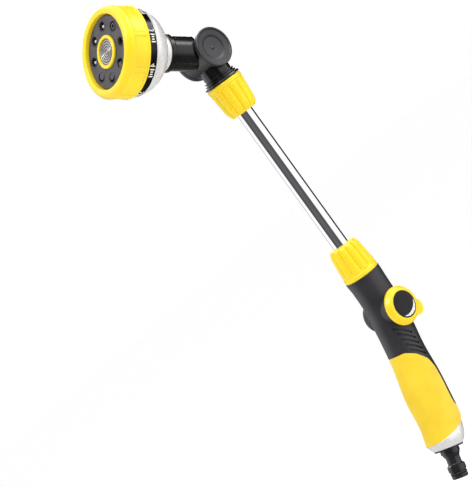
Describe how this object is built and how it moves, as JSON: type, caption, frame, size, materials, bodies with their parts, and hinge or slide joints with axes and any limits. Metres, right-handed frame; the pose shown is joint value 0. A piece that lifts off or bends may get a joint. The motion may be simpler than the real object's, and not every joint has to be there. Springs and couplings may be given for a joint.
{
  "type": "watering wand",
  "caption": "Garden watering wand: pivoting multi-pattern spray head on a chromed tube with collar nuts, curved valve handle with side knob and a quick-connect hose nipple.",
  "frame": {"origin": "centre of the hose nipple's locking collar, on the nipple's own axis", "axes": "+Z along the tube from the inlet towards the spray head, -Y the side that the head sprays to, +X the side with the flow knob"},
  "size_m": [0.085, 0.1325, 0.5494],
  "materials": {
    "yellow_abs": "semi-gloss moulded yellow ABS",
    "yellow_grip": "matte yellow soft-touch overmould",
    "charcoal_nylon": "satin charcoal nylon with fine moulded texture",
    "face_charcoal": "satin charcoal ABS",
    "black_gloss": "gloss black ABS",
    "silver_paint": "pearl silver lacquer on ABS",
    "chromed_tube": "polished chrome on tube",
    "stainless": "passivated stainless steel",
    "rose_grey": "etched grey rose disc",
    "white_acetal": "white acetal",
    "white_print": "white in-mould print",
    "seal_rubber": "black nitrile rubber",
    "black_tpr": "matte black soft-touch strip"
  },
  "bodies": {
    "grip": {"handle_body": "charcoal_nylon", "grip_panel": "yellow_grip", "back_strip": "black_tpr", "end_sleeve": "silver_paint", "inlet_nipple": "charcoal_nylon", "nipple_o_ring": "seal_rubber", "inlet_filter": "stainless", "water_tube": "white_acetal", "valve_body": "white_acetal", "valve_cap": "charcoal_nylon", "wand_tube": "chromed_tube", "lower_tube_seal": "seal_rubber", "upper_tube_seal": "seal_rubber", "pivot_elbow": "charcoal_nylon", "tube_barrel_cap": "charcoal_nylon", "pivot_o_ring": "seal_rubber", "pivot_washer": "white_acetal", "pivot_circlip": "stainless", "upper_flange_ring": "black_gloss"},
    "flow_valve": {"valve_plug": "white_acetal", "valve_o_rings": "seal_rubber", "flow_knob": "yellow_abs", "knob_insert": "black_gloss", "knob_mark": "white_print", "knob_screw": "stainless"},
    "head": {"head_elbow": "charcoal_nylon", "head_barrel_cap": "charcoal_nylon", "head_collar": "silver_paint", "head_shell": "silver_paint", "port_plate": "white_acetal", "port_seal": "seal_rubber", "detent_ball": "stainless", "detent_spring": "stainless", "dial_screw": "stainless", "dial_washer": "stainless"},
    "dial": {"dial_body": "face_charcoal", "number_ring": "black_gloss", "bezel_ring": "yellow_abs", "face_plate": "face_charcoal", "jet_inserts": "white_acetal", "rose_ring": "yellow_abs", "rose_mesh": "rose_grey"},
    "upper_clamp": {"upper_slip_washer": "white_acetal", "upper_grip_ring": "white_acetal"},
    "upper_nut": {"upper_nut": "yellow_abs"},
    "lower_clamp": {"lower_slip_washer": "white_acetal", "lower_grip_ring": "white_acetal"},
    "lower_nut": {"lower_nut": "yellow_abs"}
  },
  "joints": [
    {"name": "head_pivot", "type": "hinge", "parent": "grip", "child": "head", "pos_m": [0, 0.0439, 0.4499], "axis": [1, 0, 0], "range_deg": [-135, 15]},
    {"name": "dial_turn", "type": "hinge", "parent": "head", "child": "dial", "pos_m": [0, 0.0439, 0.4499], "axis": [0, -0.866, 0.5], "continuous": true},
    {"name": "flow_knob_turn", "type": "hinge", "parent": "grip", "child": "flow_valve", "pos_m": [0, 0.0439, 0.1532], "axis": [1, 0, 0], "range_deg": [0, 90]},
    {"name": "upper_nut_travel", "type": "slide", "parent": "grip", "child": "upper_clamp", "axis": [0, 0, -1], "range_m": [0, 0.004]},
    {"name": "upper_nut_turn", "type": "hinge", "parent": "upper_clamp", "child": "upper_nut", "pos_m": [0, 0.0439, 0.4187], "axis": [0, 0, -1], "range_deg": [0, 720]},
    {"name": "lower_nut_travel", "type": "slide", "parent": "grip", "child": "lower_clamp", "axis": [0, 0, 1], "range_m": [0, 0.004]},
    {"name": "lower_nut_turn", "type": "hinge", "parent": "lower_clamp", "child": "lower_nut", "pos_m": [0, 0.0439, 0.1961], "axis": [0, 0, 1], "range_deg": [0, 720]}
  ],
  "couplings": [
    {"joint": "upper_nut_turn", "follows": "upper_nut_travel", "rad_per_m": 3141.6},
    {"joint": "lower_nut_turn", "follows": "lower_nut_travel", "rad_per_m": 3141.6}
  ]
}
